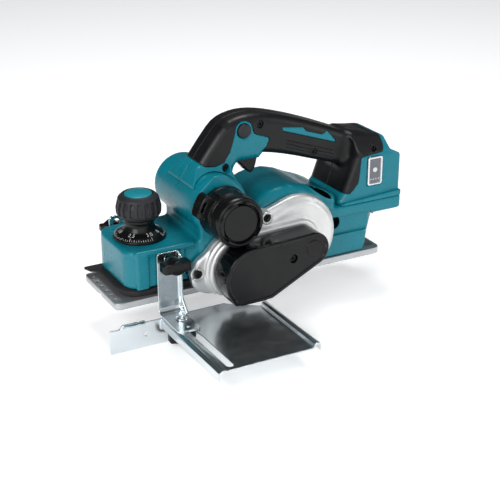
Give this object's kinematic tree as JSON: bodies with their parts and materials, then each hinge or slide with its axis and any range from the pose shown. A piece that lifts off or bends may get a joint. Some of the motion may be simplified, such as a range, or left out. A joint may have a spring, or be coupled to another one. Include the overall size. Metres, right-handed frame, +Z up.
{
  "type": "electric hand planer",
  "caption": "Cordless hand planer with a D handle, belt driven cutter drum, turning depth knob, side chip outlet and a sliding edge fence.",
  "frame": {"origin": "On the face of the rear sole plate, on the middle line of the sole, 27 mm behind the front edge of the rear plate.", "axes": "+X towards the battery end, +Y towards the far side with the rebate stop, +Z up; the sole faces -Z."},
  "size_m": [0.349, 0.2395, 0.2107],
  "materials": {
    "housing_teal": "satin moulded glass-filled nylon, fine spark texture",
    "black_gloss_plastic": "smooth black moulded plastic, light handling marks",
    "black_plastic": "fine matt black moulded plastic",
    "grip_rubber": "soft black elastomer overmould, dull, finely grained",
    "cast_aluminium": "tumbled die casting, pale grey, fine grain",
    "machined_aluminium": "milled flat with straight tool marks",
    "zinc_plate": "pressed steel sheet, bright zinc plating",
    "steel": "ground and hardened steel",
    "black_screw": "black phosphated screw",
    "motor_winding": "laminated core with enamelled copper windings",
    "circuit_board": "green solder mask with a grey heat sink",
    "panel_grey": "grey film panel in a bright frame",
    "seal_foam": "open black foam"
  },
  "bodies": {
    "body": {"main_housing": "housing_teal", "rear_base": "machined_aluminium", "drum_frame": "cast_aluminium", "belt_cover": "black_gloss_plastic", "belt_cover_screw": "steel", "drive_belt": "grip_rubber", "casting_screw_front": "steel", "casting_screw_top": "steel", "handle_shell_left": "housing_teal", "handle_shell_right": "housing_teal", "grip_left": "grip_rubber", "grip_right": "grip_rubber", "rear_grip_left": "grip_rubber", "rear_grip_right": "grip_rubber", "handle_screw_1": "black_screw", "handle_screw_2": "black_screw", "handle_screw_3": "black_screw", "handle_screw_4": "black_screw", "switch_body": "black_plastic", "controller_board": "circuit_board", "indicator_panel": "panel_grey", "battery_terminal": "black_plastic", "trigger_pin": "steel", "stator": "motor_winding", "motor_end_cover": "black_plastic", "drum_bearing_near": "steel", "drum_bearing_far": "steel", "motor_bearing_near": "steel", "motor_bearing_far": "steel", "fence_bracket": "zinc_plate", "fence_bolt": "steel", "base_spring": "steel"},
    "cutter": {"cutter_drum": "cast_aluminium", "blade_1": "steel", "blade_2": "steel", "clamp_plate_1": "steel", "clamp_plate_2": "steel", "drum_pulley": "cast_aluminium"},
    "motor_rotor": {"rotor": "steel", "cooling_fan": "black_plastic", "motor_pulley": "cast_aluminium"},
    "outlet": {"outlet_collar": "black_plastic", "outlet_cap": "black_plastic"},
    "front_shoe": {"front_base": "machined_aluminium", "front_seal": "seal_foam"},
    "depth_adjuster": {"depth_knob": "grip_rubber", "knob_cap": "housing_teal", "depth_dial": "black_gloss_plastic", "depth_screw": "steel"},
    "trigger": {"trigger": "black_plastic"},
    "lock_button": {"lock_button": "black_plastic"},
    "fence": {"fence_plate": "zinc_plate"},
    "fence_clamp_knob": {"fence_knob": "black_plastic"},
    "bracket_clamp_knob": {"bracket_stud": "steel", "bracket_knob": "black_plastic"},
    "rebate_stop": {"depth_guide": "zinc_plate"},
    "guide_clamp_knob": {"guide_stud": "steel", "guide_knob": "black_plastic"}
  },
  "joints": [
    {"name": "depth_knob_turn", "type": "hinge", "parent": "body", "child": "depth_adjuster", "pos_m": [-0.127, 0, 0.074], "axis": [0, 0, 1], "range_deg": [-108, 216]},
    {"name": "front_shoe_slide", "type": "slide", "parent": "body", "child": "front_shoe", "axis": [0, 0, 1], "range_m": [-0.002, 0.001], "deforming": ["base_spring"]},
    {"name": "cutter_spin", "type": "hinge", "parent": "body", "child": "cutter", "pos_m": [-0.043, 0, 0.028], "axis": [0, 1, 0], "continuous": true},
    {"name": "rotor_spin", "type": "hinge", "parent": "body", "child": "motor_rotor", "pos_m": [0.025, 0, 0.0445], "axis": [0, 1, 0], "continuous": true},
    {"name": "trigger_pull", "type": "hinge", "parent": "body", "child": "trigger", "pos_m": [-0.022, 0, 0.128], "axis": [0, -1, 0], "range_deg": [0, 12], "stiffness_Nm_per_rad": 0.4, "springref_deg": -17.19},
    {"name": "lock_push", "type": "slide", "parent": "body", "child": "lock_button", "axis": [0, 1, 0], "range_m": [0, 0.004], "stiffness_N_per_m": 400, "springref_m": -0.003},
    {"name": "outlet_turn", "type": "hinge", "parent": "body", "child": "outlet", "pos_m": [-0.0548, -0.05, 0.086], "axis": [0, 1, 0], "range_deg": [0, 30]},
    {"name": "fence_slide", "type": "slide", "parent": "body", "child": "fence", "axis": [0, 1, 0], "range_m": [0, 0.09]},
    {"name": "fence_knob_turn", "type": "hinge", "parent": "body", "child": "fence_clamp_knob", "pos_m": [-0.114, -0.067, -0.025], "axis": [0, 0, 1], "range_deg": [0, 270]},
    {"name": "bracket_knob_turn", "type": "hinge", "parent": "body", "child": "bracket_clamp_knob", "pos_m": [-0.1165, -0.06, 0.046], "axis": [0, 1, 0], "range_deg": [0, 270]},
    {"name": "rebate_stop_slide", "type": "slide", "parent": "body", "child": "rebate_stop", "axis": [0, 0, -1], "range_m": [0, 0.009]},
    {"name": "guide_knob_turn", "type": "hinge", "parent": "body", "child": "guide_clamp_knob", "pos_m": [-0.134, 0.0545, 0.05], "axis": [0, 1, 0], "range_deg": [0, 270]}
  ],
  "couplings": [
    {"joint": "front_shoe_slide", "follows": "depth_knob_turn", "m_per_rad": -0.00053},
    {"joint": "rotor_spin", "follows": "cutter_spin", "ratio": 2}
  ]
}
